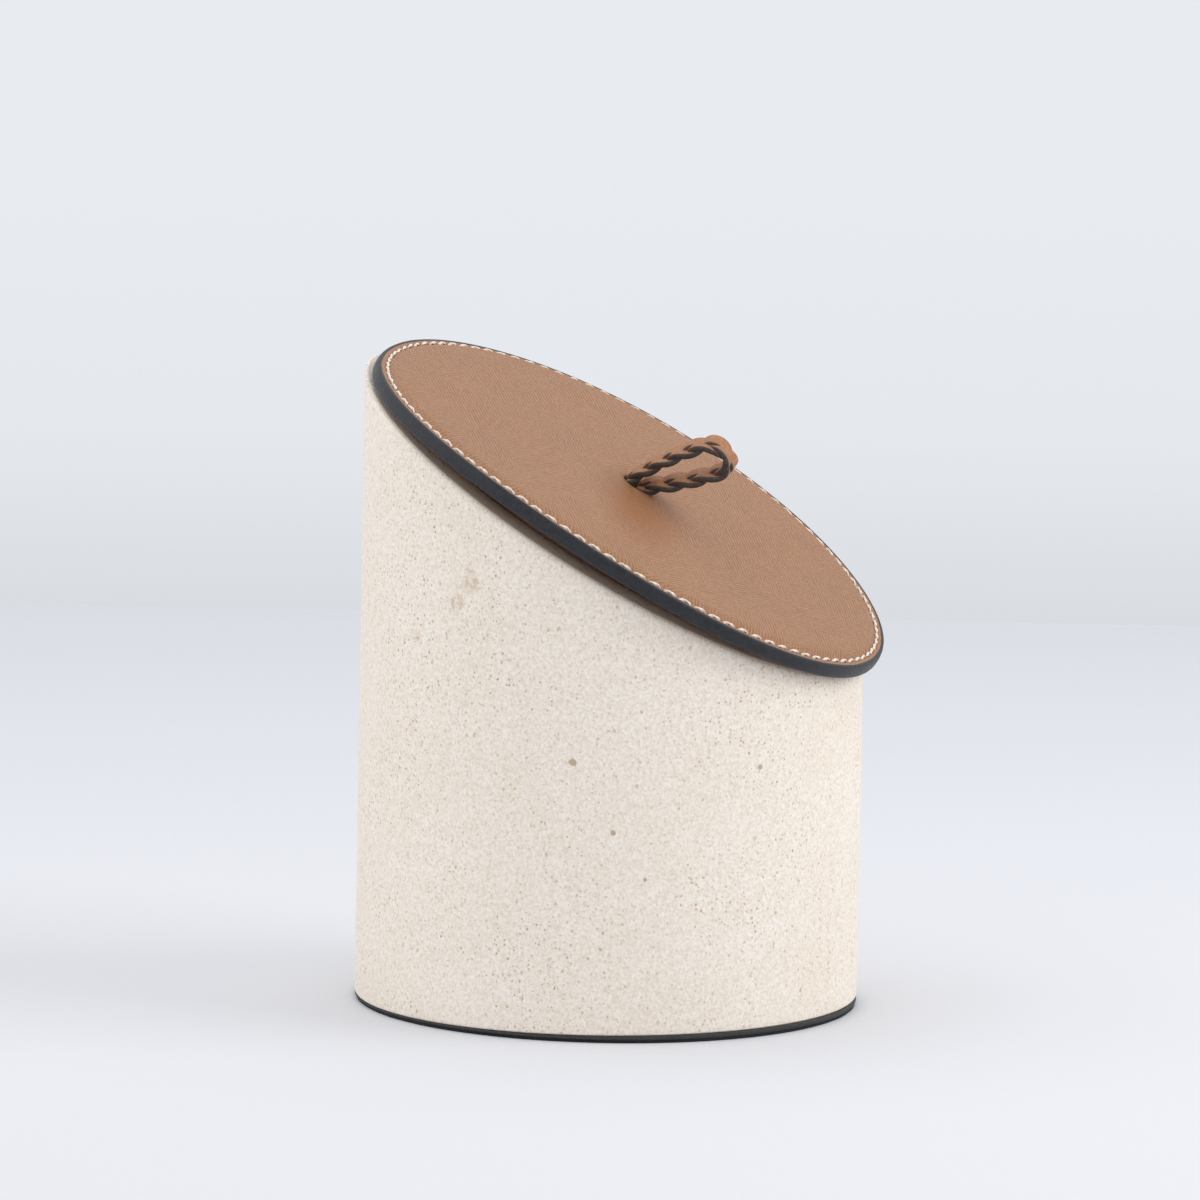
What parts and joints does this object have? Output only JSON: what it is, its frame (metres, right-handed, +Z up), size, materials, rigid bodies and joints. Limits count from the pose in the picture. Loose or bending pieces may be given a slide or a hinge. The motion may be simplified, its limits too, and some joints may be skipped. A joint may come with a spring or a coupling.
{
  "type": "collar box",
  "caption": "Round stone box cut at a slant, with a stitched leather lid that lifts off by a braided leather loop.",
  "frame": {"origin": "centre of the face that the box stands on", "axes": "+Z up along the pot's axis; the slanted rim falls towards -Y, the front"},
  "size_m": [0.1066, 0.1039, 0.1294],
  "materials": {
    "limestone": "honed, matt, fine speckle",
    "base_leather": "black, inked edge, satin",
    "base_sole": "black microsuede",
    "suede": "suede",
    "lining_leather": "smooth brown lining leather",
    "board": "dense leather board",
    "tan_leather": "fine printed grain, satin",
    "edge_ink": "built-up black edge ink, satin",
    "thread": "waxed cream thread",
    "braid_leather": "tan strips with inked edges"
  },
  "bodies": {
    "base": {"stone_body": "limestone", "base_leather": "base_leather", "base_sole": "base_sole", "floor_liner": "suede"},
    "lid": {"plug_lining": "suede", "plug_wrap": "lining_leather", "plug_board": "board", "lid_lining": "lining_leather", "lid_core": "board", "lid_top": "tan_leather", "edge_coat": "edge_ink", "stitch_thread": "thread", "pull_root": "braid_leather", "pull_knot": "braid_leather"},
    "pull": {"pull_braid": "braid_leather"}
  },
  "joints": [
    {"name": "lid_lift", "type": "slide", "parent": "base", "child": "lid", "axis": [0, 0, 1], "range_m": [0, 0.08]},
    {"name": "pull_swing", "type": "hinge", "parent": "lid", "child": "pull", "pos_m": [0.001, -0.00356, 0.10306], "axis": [0.9903, 0.1205, 0.0696], "range_deg": [-60, 10]}
  ]
}
